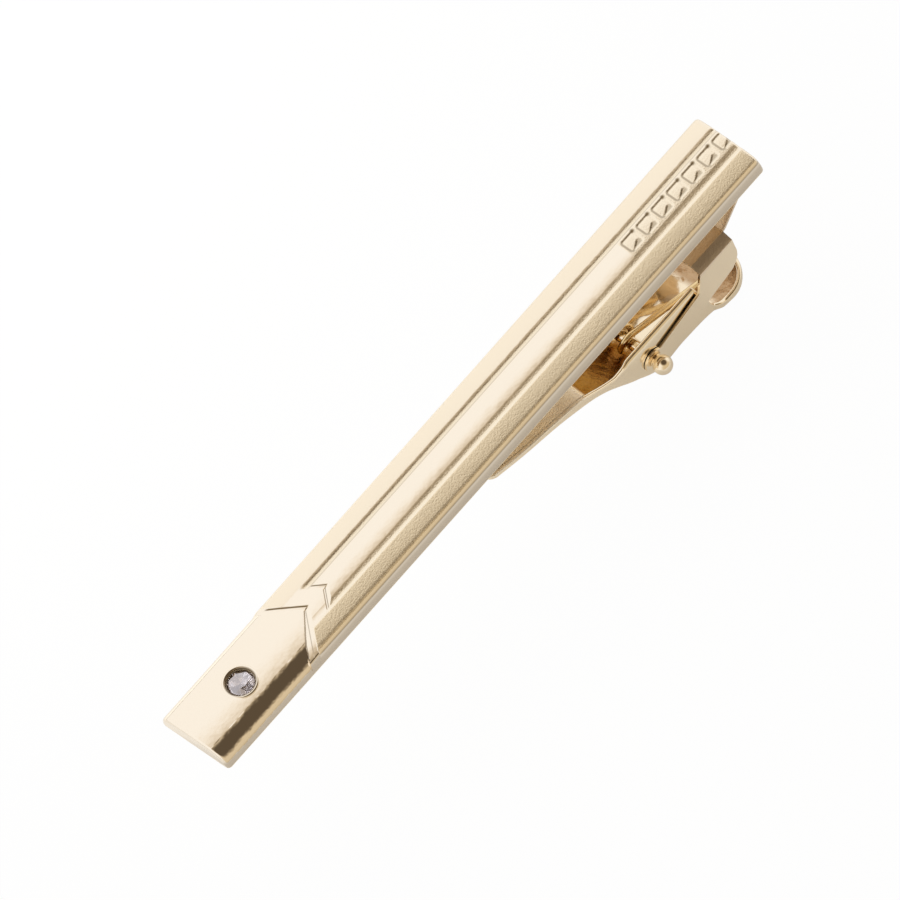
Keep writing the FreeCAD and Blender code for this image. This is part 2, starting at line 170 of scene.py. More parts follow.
# %% Camera
CAMERA_RIGHT = Vector((0.6479, -0.7278, -0.2251))
CAMERA_UP = Vector((0.7262, 0.5008, 0.4712))
CAMERA_BACK = CAMERA_RIGHT.cross(CAMERA_UP).normalized()
PHOTO_PIXELS = 900
PIXELS_PER_MM = 14.25
BAR_BACK_Z = 9.1
CROWN_Z = 10.55
CROWN_OFFSET_PIXELS = (8.8, 13.1)
CAMERA_DISTANCE = 400.0

camera_data = bpy.data.cameras.new("camera")
camera_data.type = "ORTHO"
camera_data.ortho_scale = PHOTO_PIXELS / PIXELS_PER_MM * MM
camera_data.clip_end = 5.0
camera = bpy.data.objects.new("camera", camera_data)
bpy.context.collection.objects.link(camera)
bpy.context.scene.camera = camera

offset_right, offset_up = [pixels / PIXELS_PER_MM for pixels in CROWN_OFFSET_PIXELS]
target = Vector((0, 0, CROWN_Z)) - CAMERA_RIGHT * offset_right - CAMERA_UP * offset_up
place = (target + CAMERA_BACK * CAMERA_DISTANCE) * MM
turn = Matrix((CAMERA_RIGHT, CAMERA_UP, CAMERA_BACK)).transposed()
camera.matrix_world = Matrix.Translation(place) @ turn.to_4x4()
print("frame width, mm:", round(camera_data.ortho_scale / MM, 2))

# %% [markdown]
# ## Nodes and colours
# Materials, the world and the floor are all small networks of nodes. Written out link by link they
# would be long, so one helper adds a node and fills its sockets with values or links. Colours are
# written in hexadecimal, as on a screen, and one function makes them linear for the renderer.

# %% Node helper and colour helper
def add_node(tree, kind, sockets=None, **settings):
    """Adds a node; settings are its properties, and sockets maps an input's name or number to a value, to an
    output that is linked to it, or to a node, whose first output is linked."""
    node = tree.nodes.new(kind)
    for name, value in settings.items():
        setattr(node, name, value)
    for key, value in (sockets or {}).items():
        if isinstance(value, bpy.types.Node):
            value = value.outputs[0]
        if isinstance(value, bpy.types.NodeSocket):
            tree.links.new(value, node.inputs[key])
        else:
            node.inputs[key].default_value = value
    return node


def empty_material(name):
    """A new material with no nodes, and its tree."""
    material = bpy.data.materials.new(name)
    material.use_nodes = True
    material.node_tree.nodes.clear()
    return material, material.node_tree


def mix_colors(tree, share, first, second):
    """The output of a node that mixes two colours; each input is a value or a link."""
    mix = add_node(tree, "ShaderNodeMix", {"Factor": share, 6: first, 7: second}, data_type="RGBA")
    return mix.outputs[2]


def calc(tree, operation, *numbers):
    """A node that works out one number from others."""
    return add_node(tree, "ShaderNodeMath", dict(enumerate(numbers)), operation=operation)


def linear(code):
    """An sRGB hex colour as linear red, green, blue and full opacity, by the sRGB curve."""
    parts = np.array([int(code[i:i + 2], 16) for i in (1, 3, 5)]) / 255
    flat = np.where(parts <= 0.04045, parts / 12.92, ((parts + 0.055) / 1.055) ** 2.4)
    return (*flat.tolist(), 1.0)


# %% [markdown]
# ## Studio
# Polished plate shows the room more than it shows itself. The photograph's stripes say what the
# room was: a white tent all round, with one warm dark opening overhead for the lens. A card could
# hang there, but it would get in the way of other cameras, so the tent is painted on the world:
# white, warmer in a ring and then dark towards one direction, and a little dimmer on one side. The
# camera itself sees plain white in its place.

# %% World
OPENING_WAY = Vector((0.23, -0.326, 0.917)).normalized()
# Angles from the opening's middle at which the dark and the warm ring start, and at which they are full.
OPENING_DEGREES = (43.0, 20.0)
GLOW_DEGREES = (47.0, 30.0)
DIM_SIDE_WAY = Vector((0.1, -1.0, 0.1)).normalized()
DIM_SIDE_START, DIM_SIDE_FULL = 0.3, 0.85
BACKDROP_COLOR = "#ffffff"
TENT_COLOR = "#fefdfc"
DIM_SIDE_COLOR = "#d8c9ae"
GLOW_COLOR = "#e6d3b4"
OPENING_COLOR = "#5b4f40"

scene = bpy.context.scene
scene.view_settings.view_transform = "Standard"
world = bpy.data.worlds.new("white_tent")
scene.world = world
world.use_nodes = True
tree = world.node_tree
tree.nodes.clear()
direction = add_node(tree, "ShaderNodeTexCoord")


def towards(way, start, full):
    """A share that rises smoothly from 0 to 1 as the cosine of the angle to a way goes from start to full."""
    cosine = add_node(tree, "ShaderNodeVectorMath", {0: direction.outputs["Generated"], 1: way},
                      operation="DOT_PRODUCT")
    return add_node(tree, "ShaderNodeMapRange", {
        "Value": cosine.outputs["Value"], "From Min": start, "From Max": full}, interpolation_type="SMOOTHSTEP")


shown = linear(TENT_COLOR)
ray = add_node(tree, "ShaderNodeLightPath")
for share, color in (
    (towards(DIM_SIDE_WAY, DIM_SIDE_START, DIM_SIDE_FULL), DIM_SIDE_COLOR),
    (towards(OPENING_WAY, *np.cos(np.radians(GLOW_DEGREES))), GLOW_COLOR),
    (towards(OPENING_WAY, *np.cos(np.radians(OPENING_DEGREES))), OPENING_COLOR),
    (ray.outputs["Is Camera Ray"], BACKDROP_COLOR),
):
    shown = mix_colors(tree, share, shown, linear(color))
background = add_node(tree, "ShaderNodeBackground", {"Color": shown, "Strength": 1.0})
add_node(tree, "ShaderNodeOutputWorld", {"Surface": background})
print("tent opening, degrees:", OPENING_DEGREES)

# %% [markdown]
# ## Floor
# The clip lies on a sheet of pale card, which keeps its faint shadow. A shadow catcher would need the
# compositor, so the card is one large quad whose material is nearly white to the camera and plain
# paper to the light.

# %% Floor
FLOOR_COLOR = "#ecebe8"
FLOOR_HALF = 600.0
FLOOR_GAP = 0.01
CAMERA_WHITE = 0.97
GLOSS_WHITE = 0.3

floor_sides = np.array([(-1, -1), (1, -1), (1, 1), (-1, 1)]) * FLOOR_HALF
floor = mesh_piece("floor", [(x, y, -FLOOR_GAP) for x, y in floor_sides], [(0, 1, 2, 3)])
card, tree = empty_material("white_card")
ray = add_node(tree, "ShaderNodeLightPath")
seen = calc(tree, "MAXIMUM", ray.outputs["Is Camera Ray"], ray.outputs["Is Transmission Ray"])
seen_white = calc(tree, "MULTIPLY", seen, CAMERA_WHITE)
white_share = calc(tree, "MULTIPLY_ADD", ray.outputs["Is Glossy Ray"], GLOSS_WHITE, seen_white)
paper = add_node(tree, "ShaderNodeBsdfDiffuse", {"Color": linear(FLOOR_COLOR)})
glow = add_node(tree, "ShaderNodeEmission", {"Color": (1.0, 1.0, 1.0, 1.0), "Strength": 1.0})
shown = add_node(tree, "ShaderNodeMixShader", {0: white_share, 1: paper, 2: glow})
add_node(tree, "ShaderNodeOutputMaterial", {"Surface": shown})
floor.data.materials.append(card)
print("floor at", -FLOOR_GAP, "mm")

# %% [markdown]
# ## Lamp
# A broad lamp on the left lifts the floor there and leaves it dimmer on the right, which the bar's
# sides reflect. The lamp could be part of the world too, but an area lamp gives the shadow its side.

# %% Lamp
LAMP_WAY = Vector((0.0, 0.79, 0.61)).normalized()
LAMP_DISTANCE = 90.0
LAMP_SIZE = 60.0
LAMP_WATTS = 0.045
lamp_data = bpy.data.lights.new("left_softbox", "AREA")
lamp_data.energy = LAMP_WATTS
lamp_data.size = LAMP_SIZE * MM
lamp = bpy.data.objects.new("left_softbox", lamp_data)
bpy.context.collection.objects.link(lamp)
lamp.visible_glossy = False
lamp.matrix_world = (Matrix.Translation(LAMP_WAY * LAMP_DISTANCE * MM)
                     @ LAMP_WAY.to_track_quat("Z", "Y").to_matrix().to_4x4())
print("lamp at", [round(v, 1) for v in LAMP_WAY * LAMP_DISTANCE], "mm")

# %% [markdown]
# ## The front bar
# The bar is one casting: a flat back, round shoulders and a nearly flat crown. A shallow groove
# draws the block with the chevron end that holds the stone. More grooves draw a panel with a swallow
# tail, which runs from there to the far end. Boxes joined by booleans would give the lines, but not
# the soft shoulders that carry the reflections. Here the section is carried along the bar on one
# grid, and the grooves are cut into its height. Near the chevron the grid's cross lines are sheared
# back with distance from the middle, so that every crease lies along a grid line.

# %% Bar sizes
BAR_HALF_LENGTH = 29.0
BAR_HALF_WIDTH = 3.25
FLAT_HALF = 1.72
SIDE_TOP_Z = 9.22
CROWN_BOW = 0.065
PANEL_BOW = 0.02
CHEVRON_SLOPE = 0.82
# Each groove starts, is deepest and ends at these places: along the bar, or out from its middle line.
CHEVRON_GROOVE = (12.22, 12.36, 12.82)
CHEVRON_DRAW = 0.22
DRAW_END = 1.9
TAIL_GROOVE = (14.28, 14.5, 14.88)
PANEL_GROOVE = (0.84, 1.22, 1.48)
PANEL_SHIFT = 0.07
STEP_RUN = 0.06
STEP_DEEPER = 2.6
RIGHT_SIDE_DEEPER = 1.4
BAND_FLAT_HALF = 2.6
BAND_TILT = 0.085
BAND_FLAT_GAIN = 0.12
STRIP_FLAT_GAIN = 0.42
BAND_EDGE = 2.88
BAND_LINE = 3.04
BAND_TILT_RUN = 1.2
FLAT_WIDENS = (20.0, 45.0)
SHEAR_RISE, SHEAR_FALL = (7.0, 10.8), (20.0, 15.2)
STONE_X = 5.32 - BAR_HALF_LENGTH
SEAT_RADIUS = 1.165
CREASE = 0.025
# Lines of shade in the grooves: each has a place, a half width, a strength and sometimes a steepness.
ARM_LEFT = (12.66, 0.12, 1.0, 1.7)
ARM_EDGE, ARM_STEP = (0.03, 0.07, 0.85), (CHEVRON_GROOVE[1], 0.07, 0.6)
TAIL_LEFT = (14.74, 0.09, 0.9, 1.6)
TAIL_EDGE, TAIL_STEP = (14.3, 0.06, 0.7), (14.48, 0.06, 0.9)
PANEL_SIDE, PANEL_FINE = (1.32, 0.12, 0.3), (0.95, 0.08, 0.35)
BAND_BORDER = (BAND_LINE, 0.06, 0.65)


def groove(place, start, bottom, end):
    """Depth share of a V-shaped groove: 0 at its start and its end, and 1 at its bottom."""
    return np.clip(np.minimum((place - start) / (bottom - start), (end - place) / (end - bottom)), 0, 1)


def drawn(value, place, half_width, strength, steepness=1.0):
    """A line of shade: its strength at the place and nothing past the half width; a steep one has a broad top."""
    return strength * np.clip(steepness * (1 - np.abs(value - place) / half_width), 0, 1)


# %% [markdown]
# ## Key border
# Seven square keys are stamped into the panel's far end, all with one punch. Each could be its own
# mesh cut in by a boolean, but the bar's grid is fine enough there to take the punch's shape as a
# depth. So one tile is written as a formula, a rounded hollow with a slanting tongue, and repeated.

# %% Key border
KEY_START = 47.1
KEY_PITCH = 1.638
KEY_COUNT = 7
TILE_MIDDLE = (0.77, -0.08)
TILE_HALVES = (0.74, 0.7)
TILE_CORNER = 0.34
TILE_WALL = 0.22
TONGUE_HEIGHT = 0.8
# Lines of shade in a tile, as above, and the corner where the dot lies.
TILE_LEFT, TILE_NEAR = (0.1, 0.13, 0.25), (0.09, 0.12, 0.6, 1.5)
TILE_SLANT, TILE_DOT = (0.05, 0.09, 0.65), (0.0, 0.225, 0.95, 1.5)
DOT_PLACE = (1.38, -0.66)
WEDGE_SHADE = 0.38


def tile_edge(along, across):
    """Distance inside a tile's rounded outline; it is below zero outside."""
    past_x = np.abs(along - TILE_MIDDLE[0]) - TILE_HALVES[0] + TILE_CORNER
    past_y = np.abs(across - TILE_MIDDLE[1]) - TILE_HALVES[1] + TILE_CORNER
    corner = np.hypot(np.maximum(past_x, 0), np.maximum(past_y, 0))
    return TILE_CORNER - corner - np.minimum(np.maximum(past_x, past_y), 0)


def tile_slant(along):
    """How far right the tongue in a tile reaches: less and less along the tile."""
    return 0.42 - 0.4 * ramp(along, 0.4, 1.05)


def key_tile(along, across):
    """Depth of one stamped tile, as a share: a rounded hollow, less a tongue with a slanting right edge."""
    slant = tile_slant(along)
    tongue = ramp(along, 0.16, 0.3) * ramp(along, 1.2, 1.0) * ramp(across, slant + 0.14, slant)
    tongue = tongue * ramp(across, -0.52, -0.4)
    return ease(tile_edge(along, across), 0, TILE_WALL) * (1 - TONGUE_HEIGHT * tongue)


def key_shade(along, across):
    """Share of painted shade in a tile: on its left and near walls, in its far left corner and beside the tongue."""
    edge, slant = tile_edge(along, across), tile_slant(along)
    wedge = WEDGE_SHADE * ramp(across, slant, slant + 0.1) * ramp(across, 0.52, 0.42)
    return np.maximum.reduce([
        drawn(edge, *TILE_LEFT) * ramp(across, -0.3, -0.45),
        drawn(edge, *TILE_NEAR) * ramp(along, 0.42, 0.3),
        drawn(np.hypot(along - DOT_PLACE[0], across - DOT_PLACE[1]), *TILE_DOT),
        drawn(across - slant, *TILE_SLANT) * ramp(along, 0.34, 0.42) * ramp(along, 1.14, 1.04),
        wedge * ramp(along, 0.4, 0.5) * ramp(along, 1.3, 1.2),
    ])


# %% Bar surface
def bar_lines():
    """Grid lines along the bar: creases and ends, close runs at the stone, grooves and keys, even steps between."""
    creases = hold_lines(CHEVRON_GROOVE[1:] + TAIL_GROOVE, CREASE)
    end = np.array([0, 0.03, 0.1, 0.2, 0.32])
    close_runs = ((3.8, 6.9, 0.06), (10.8, 12.9, 0.03), (14.2, 15.0, 0.03), (KEY_START - 0.1, 57.6, 0.045))
    runs = [np.arange(start, stop, step) for start, stop, step in close_runs]
    return fill_lines(np.concatenate([creases, end, 2 * BAR_HALF_LENGTH - end] + runs), 0.35)


def bar_columns():
    """Half of the section's lines, as distances from the middle outwards."""
    creases = hold_lines(PANEL_GROOVE, CREASE)
    inner = np.arange(0, PANEL_GROOVE[0] - 0.04, 0.045)
    flat = fill_lines(np.concatenate([inner, creases, [FLAT_HALF]]), 0.08)
    swing = np.linspace(0, np.pi / 2, 31)[1:]
    return np.concatenate([flat, FLAT_HALF + (BAR_HALF_WIDTH - FLAT_HALF) * np.sin(swing)])


def right_edge(across):
    """Where the block's edge lies along the bar: the right arm is drawn back more and more towards its end."""
    return CHEVRON_GROOVE[0] - CHEVRON_DRAW * np.clip(across, 0, DRAW_END)


def arm_groove(along, across, start, bottom, end):
    """Depth share of an arm: a V-shaped groove on the left, and on the right a steep step, then a slow rise."""
    step = STEP_DEEPER * ramp(along, start, start + STEP_RUN) * np.clip((end - along) / (end - start), 0, 1)
    return np.where(across > 0, step, groove(along, start, bottom, end))


def bar_grooves(along, across):
    """Depth share of the grooves along the chevron, along the swallow tail and at each side of the panel."""
    panel_out = np.abs(across - PANEL_SHIFT)
    chevron = arm_groove(along, across, right_edge(across), *CHEVRON_GROOVE[1:])
    tail = arm_groove(along, across, *TAIL_GROOVE) * ramp(panel_out, PANEL_GROOVE[2], PANEL_GROOVE[1])
    sides = groove(panel_out, *PANEL_GROOVE) * ramp(along, TAIL_GROOVE[0], TAIL_GROOVE[1])
    sides = sides * np.where(across > 0, RIGHT_SIDE_DEEPER, 1.0)
    return np.maximum(chevron, np.maximum(tail, sides))


def line_shade(along, across):
    """Share of painted shade in the grooves: thin dark lines along the walls, which differ left and right."""
    out = np.abs(across)
    on_panel = ramp(along, TAIL_GROOVE[0], TAIL_GROOVE[2])
    left = np.maximum.reduce([
        drawn(along, *ARM_LEFT) * ramp(out, 2.45, 2.3),
        drawn(along, *TAIL_LEFT) * ramp(out, 0.96, 0.9),
        drawn(out, *PANEL_SIDE) * on_panel * ramp(along, 40, 16),
        drawn(out, *PANEL_FINE) * on_panel,
    ])
    arm = np.maximum(drawn(along - right_edge(across), *ARM_EDGE), drawn(along, *ARM_STEP))
    tail = np.maximum(drawn(along, *TAIL_EDGE), drawn(along, *TAIL_STEP))
    right = np.maximum.reduce([
        arm * ramp(out, 2.9, 2.6),
        tail * ramp(out, PANEL_GROOVE[1] + 0.1, PANEL_GROOVE[1]),
        drawn(out, *BAND_BORDER) * ramp(along, CHEVRON_GROOVE[2], CHEVRON_GROOVE[2] + 0.1),
    ])
    return np.where(across < 0, left, right * (across > 0))


def in_tiles(shape, along, across):
    """One tile's shape repeated along the border at an even pitch."""
    number = np.clip(np.floor((along - KEY_START) / KEY_PITCH), 0, KEY_COUNT - 1)
    return shape(along - KEY_START - number * KEY_PITCH, across) * (along > KEY_START)


# %% Bar mesh
GROOVE_DEPTH = 0.034
KEY_DEPTH = 0.045
LEFT_SATIN, SLOPE_SATIN, KEY_SATIN = 0.4, 0.7, 0.45
SIDE_SHADE = 0.42
CORNER_ROUND = 0.3
END_ROUND = 0.12
SEAT_DROP = 0.9
BACK_EDGE = [(3.25, 9.17), (3.235, 9.125), (3.19, 9.1), (2.0, 9.1)]


def bar_heights(along, across, x):
    """Heights of the bar's upper side, and how far up its rounded section each place lies.
    The crown bows a little, the bands tilt outwards and the shoulders are quarter ellipses;
    the grooves, the key border and the stone's seat are cut into that."""
    out = np.abs(across)
    on_bands = np.where(across > 0, ramp(along, right_edge(across), right_edge(across) + STEP_RUN),
                        ease(along, CHEVRON_GROOVE[0], CHEVRON_GROOVE[2]))
    on_strip = on_bands * ramp(along, CHEVRON_GROOVE[2] + 0.05, CHEVRON_GROOVE[2]) * (across > 0)
    flat = FLAT_HALF + (BAND_FLAT_HALF - FLAT_HALF) * on_bands
    flat = flat + BAND_FLAT_GAIN * ramp(along, *FLAT_WIDENS) + STRIP_FLAT_GAIN * on_strip
    lift = np.sqrt(1 - np.clip((out - flat) / (BAR_HALF_WIDTH - flat), 0, 1) ** 2)
    share = out / FLAT_HALF
    bow = CROWN_BOW * np.where(share < 1, share ** 2, 2 * share - 1)
    tilt = BAND_TILT * np.clip((out - PANEL_GROOVE[1]) / BAND_TILT_RUN, 0, None) ** 2
    tilt = tilt + CROWN_BOW * (PANEL_GROOVE[1] / FLAT_HALF) ** 2
    bow = bow + (tilt - bow) * on_bands * ramp(out, PANEL_GROOVE[0], PANEL_GROOVE[1])
    panel = PANEL_BOW * np.clip(out / PANEL_GROOVE[0], 0, 1) ** 2 * ramp(along, *TAIL_GROOVE[1:])
    cut = GROOVE_DEPTH * bar_grooves(along, across) + panel * ramp(out, PANEL_GROOVE[2], PANEL_GROOVE[1])
    cut = cut + KEY_DEPTH * in_tiles(key_tile, along, across)
    seat = ramp(np.hypot(x - STONE_X, across), SEAT_RADIUS + 0.1, SEAT_RADIUS) * (lift > 0.5)
    return SIDE_TOP_Z + (CROWN_Z - bow - SIDE_TOP_Z) * lift - cut * lift - SEAT_DROP * seat, lift


def bar_shades(along, across, is_top):
    """Satin and painted shade shares: satin on the back, the bands, the panel's sides and the key border;
    painted shade in the grooves' lines, in the key tiles and low down on the right side."""
    out = np.abs(across)
    band = ramp(out, PANEL_GROOVE[2] - 0.04, PANEL_GROOVE[2] + 0.08) * ramp(out, BAND_EDGE + 0.04, BAND_EDGE)
    band = band * ramp(along, CHEVRON_GROOVE[2] - 0.05, CHEVRON_GROOVE[2] + 0.05)
    band = band * np.where(across < 0, LEFT_SATIN, 1.0)
    slope = SLOPE_SATIN * groove(np.abs(across - PANEL_SHIFT), *PANEL_GROOVE)
    slope = slope * ramp(along, TAIL_GROOVE[0], TAIL_GROOVE[2])
    stamped = KEY_SATIN * ramp(out, 0.9, 0.8) * ramp(along, KEY_START - 0.1, KEY_START)
    # Painted shade: low down on the right side the colour darkens, as that side faces the dimmer floor.
    low = SIDE_SHADE * ramp(across, BAND_LINE, BAND_LINE + 0.12)
    # Painted shade: dark lines in the grooves and in the key tiles.
    painted_shade = np.maximum(line_shade(along, across), in_tiles(key_shade, along, across))
    satin = np.maximum(np.maximum(band, slope), stamped)
    return np.where(is_top, satin, 1.0), np.where(is_top, np.maximum(painted_shade, low), 0.0)


def bar_grid():
    """Points of the bar, row by row along it and column by column round its section, with three shades each:
    satin, painted shade and worn, which is the block's right shoulder."""
    half = bar_columns()
    back = np.array(BACK_EDGE + [(0.0, BAR_BACK_Z)] + [(-y, z) for y, z in BACK_EDGE[::-1]])
    across = np.concatenate([-half[:0:-1], half, back[:, 0]])[None, :]
    is_top = np.arange(across.shape[1])[None, :] < 2 * len(half) - 1
    along = bar_lines()[:, None]
    shear = CHEVRON_SLOPE * ease(along, *SHEAR_RISE) * ease(along, *SHEAR_FALL)
    x = along - BAR_HALF_LENGTH - shear * np.abs(across)
    z, lift = bar_heights(along, across, x)
    satin, painted_shade = bar_shades(along, across, is_top)
    edge = right_edge(across)
    worn = ramp(across, FLAT_HALF, FLAT_HALF + 0.1) * ramp(along, edge, edge - 0.1) * is_top

    from_end = np.minimum(along, 2 * BAR_HALF_LENGTH - along)
    satin = satin * ramp(from_end, 0, CORNER_ROUND)
    y = -across * (BAR_HALF_WIDTH - round_in(from_end, CORNER_ROUND)) / BAR_HALF_WIDTH
    under = np.concatenate([np.zeros(2 * len(half) - 1), back[:, 1]])[None, :]
    z = np.where(is_top, z - round_in(from_end, END_ROUND) * lift, under)
    return np.stack(np.broadcast_arrays(x, y, z), axis=-1), satin + 0 * z, painted_shade + 0 * z, worn + 0 * z


points, *shades = bar_grid()
bar = mesh_piece("bar_casting", points, tube_faces(points, True))
for name, shade in zip(("satin", "painted_shade", "worn"), shades):
    give_shade(bar, name, shade)
bar.data.set_sharp_from_angle(angle=np.radians(40))
settle(bar, "bar", "gold_plate", "front_bar")

# %% [markdown]
# ## The stone and its rim
# The stone is a foil-backed glass brilliant, as costume jewellers buy by the thousand: a flat
# table, a ring of crown facets and a shallow pointed back that was mirrored before it was glued in.
# A smooth cone would not sparkle, so each ring of corners is worked out by angle and the facets
# between them stay flat. The rim round it is a closed profile, turned about the stone's axis.

# %% Turned profile helper
def turned(profile, centre, axis, steps, shift=0):
    """Points of a profile of (radius, height) pairs, turned in a full circle about an axis through a centre:
    across the axis by the radius times cosine and sine, and along it by the height. A shift is in steps."""
    radius, height = np.asarray(profile, float).T[:, :, None, None]
    angle = (np.arange(steps) + shift)[None, :, None] * 2 * np.pi / steps
    first, second, up = np.eye(3)[[(axis + 1) % 3, (axis + 2) % 3, axis]]
    side = np.cos(angle) * first + np.sin(angle) * second
    return np.asarray(centre, float) + radius * side + height * up


# %% Stone rim
RIM_STEPS = 96
RIM_SHADE, RIM_LINE = 0.9, 1.2
RIM_PROFILE = [
    (1.165, 9.75), (1.165, 10.38), (1.12, 10.44), (1.09, 10.5), (1.105, 10.555), (1.16, 10.595),
    (1.24, 10.608), (1.31, 10.595), (1.36, 10.56), (1.385, 10.52), (1.39, 10.4), (1.39, 9.75),
]
rim_loop = np.array(RIM_PROFILE + RIM_PROFILE[:1])
rim_points = turned(rim_loop, (STONE_X, 0, 0), 2, RIM_STEPS)
rim = mesh_piece("stone_rim", rim_points, tube_faces(rim_points, False))
# Painted shade: the rim's inner part, next to the stone, darkens towards the shade colour.
give_shade(rim, "painted_shade", np.repeat(RIM_SHADE * ramp(rim_loop[:, 0], RIM_LINE, RIM_LINE - 0.05), RIM_STEPS))
close_up(rim, 50)
settle(rim, "bar", "gold_plate")

# %% Stone
FOLD = 8
# Rings of corners: the table, the kites, the girdle's two edges, the back and its point. Each has a radius,
# a height, a number of corners and a shift in steps.
STONE_RINGS = [
    (0.56, 10.65, FOLD, 0), (0.83, 10.53, FOLD, 0.5), (1.04, 10.385, 2 * FOLD, 0),
    (1.04, 10.365, 2 * FOLD, 0), (0.47, 10.2, FOLD, 0.5), (0.0, 10.1, 1, 0),
]


def facets(*corners):
    """A list of faces, each with one number from every array of corners."""
    return np.stack(np.broadcast_arrays(*corners), axis=-1).tolist()


stone_points = np.concatenate([turned([(radius, height)], (STONE_X, 0, 0), 2, count, shift)[0]
                               for radius, height, count, shift in STONE_RINGS])
# First corners of the rings, in the order above; table, kite and back then run round their own rings.
girdle, under, culet = 2 * FOLD, 4 * FOLD, 7 * FOLD
table = np.arange(FOLD)
after = (table + 1) % FOLD
kite, back_ring = FOLD + table, 6 * FOLD + table
even, odd, even_next = 2 * table, 2 * table + 1, 2 * after
crown_faces = [table.tolist()] + facets(table, kite, after)
crown_faces += facets(table, FOLD + (table - 1) % FOLD, girdle + even, kite)
crown_faces += facets(kite, girdle + even, girdle + odd) + facets(kite, girdle + odd, girdle + even_next)
ring = np.arange(2 * FOLD)
ring_after = (ring + 1) % (2 * FOLD)
foil_faces = facets(girdle + ring, under + ring, under + ring_after, girdle + ring_after)
foil_faces += facets(under + even, back_ring, under + odd) + facets(under + odd, back_ring, under + even_next)
foil_faces += facets(under + even_next, back_ring, 6 * FOLD + after) + facets(back_ring, culet, 6 * FOLD + after)
stone = mesh_piece("foil_backed_stone", stone_points, crown_faces + foil_faces)
stone.data.shade_flat()
settle(stone, "bar", "cut_glass", "crystal")

# %% [markdown]
# ## The jaw and its thumb tray
# The jaw is one strip of sheet brass, pressed into a trough: a toothed tongue that grips, a deep
# channel that holds the spring and the pin, and a round-ended tray for the thumb. It could be cut
# from a block, but a pressed strip has the same wall everywhere. So its section, a U with rounded
# bends and rims, is carried along the bar while its width, floor, belly and rim follow curves.

# %% Jaw curves
# Each pair is a place along the bar and a drop below the bar's back.
JAW_RIM = [(-1.0, 0.06), (2.2, 1.03), (6.1, 1.88), (8.4, 2.49), (10.5, 3.63), (12.5, 4.56)]
JAW_RIM_REST = [(12.5, 4.56), (20.2, 4.56), (20.9, 7.95), (21.9, 8.4), (25.05, 8.4)]
JAW_BELLY = [(-1.0, 0.46), (2.0, 1.42), (7.0, 2.84), (10.54, 4.55), (12.99, 7.0), (14.58, 8.25), (17.7, 8.35),
             (19.98, 8.5), (21.8, 8.9), (23.43, 9.1), (25.05, 8.8)]
JAW_TIP, JAW_END = -1.0, 25.05
POCKET_START = 8.8
SHEET = 0.35
WIDE_HALF = 3.3
NECK_HALF = 3.05
TIP_ROUND = 0.8
TRAY_ROUND = 2.6
TOOTH_GAPS = np.array([-1.875, -0.625, 0.625, 1.875])
TOOTH_GAP_RADIUS = 0.35


def through(x, pairs):
    """A smooth curve through a few points: cubics whose slopes are the mean slopes to the neighbouring points."""
    xs, ys = np.array(pairs, float).T
    slopes = np.gradient(ys, xs)
    i = np.clip(np.searchsorted(xs, x) - 1, 0, len(xs) - 2)
    span = xs[i + 1] - xs[i]
    t = (x - xs[i]) / span
    start = ys[i] * (1 + 2 * t) + slopes[i] * span * t
    end = ys[i + 1] * (3 - 2 * t) - slopes[i + 1] * span * (1 - t)
    return start * (1 - t) ** 2 + end * t ** 2


def bent(x, pairs, reach):
    """Straight runs with rounded corners: the mean of the straight runs over a reach to either side."""
    xs, ys = np.array(pairs, float).T
    shifts = np.linspace(-reach, reach, 15)
    return np.interp(x[:, None] + shifts, xs, ys).mean(axis=1)


def jaw_half_width(x, inset):
    """Half the jaw's width in plan: wide tongue, narrow neck, wide tray, with rounded corners at both ends."""
    wide, neck = WIDE_HALF - inset, NECK_HALF - inset
    half = bent(x, [(11.2, wide), (13.2, neck), (20.9, neck), (21.4, wide)], 0.15)
    half = half - round_in(x - JAW_TIP - inset, TIP_ROUND - inset)
    return half - round_in(JAW_END - inset - x, TRAY_ROUND - inset)


# %% Jaw mesh
BEND = 0.25
RIM_EDGE = 0.13
POCKET_WEAR, POCKET_SATIN, TRAY_SHADE = 4.0, 0.7, 0.7
WALL_LEAN = 0.25
LEAN_HEIGHT = 1.3
SPREAD = np.linspace(0, 1, 26)
BEND_TURN = np.linspace(0, np.pi / 2, 8)[1:]
WALL_STEPS = np.linspace(0, 1, 15)[1:]
INNER_STEPS = np.linspace(0, 1, 11)[1:-1]
INNER_TURN = np.linspace(0, np.pi / 2, 5)[1:]
RIM_SWING = np.linspace(np.pi, 0, 9)[:-1]


